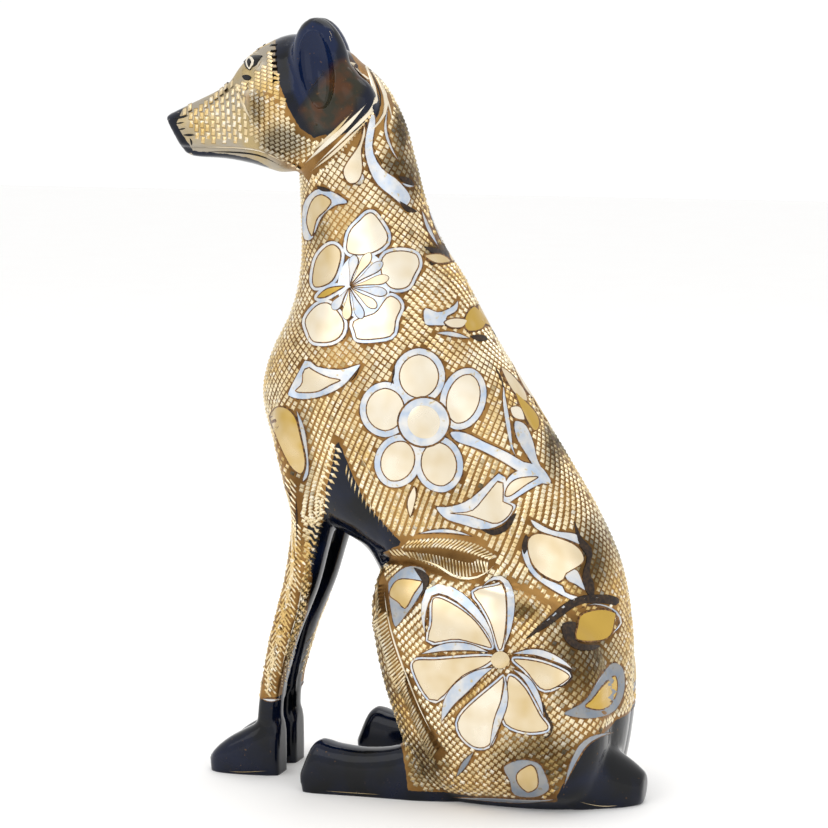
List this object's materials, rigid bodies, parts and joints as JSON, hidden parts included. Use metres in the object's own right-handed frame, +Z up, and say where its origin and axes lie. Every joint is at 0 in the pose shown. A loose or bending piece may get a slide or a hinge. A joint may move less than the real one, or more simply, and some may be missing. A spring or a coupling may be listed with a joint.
{
  "type": "brass dog statue",
  "caption": "Seated hound cast in brass and chased with flowers and leaves, standing on its feet and rump by its own weight.",
  "frame": {"origin": "on the ground, under the middle of the statue's box", "axes": "+Z up, -X the way the dog faces, -Y its left side"},
  "size_m": [0.215, 0.1002, 0.3295],
  "materials": {
    "brass": "polished and chased cast brass, with silvered borders and black lacquer on ears, nose, feet and tail"
  },
  "bodies": {
    "root": {"brass_dog": "brass"}
  },
  "joints": []
}
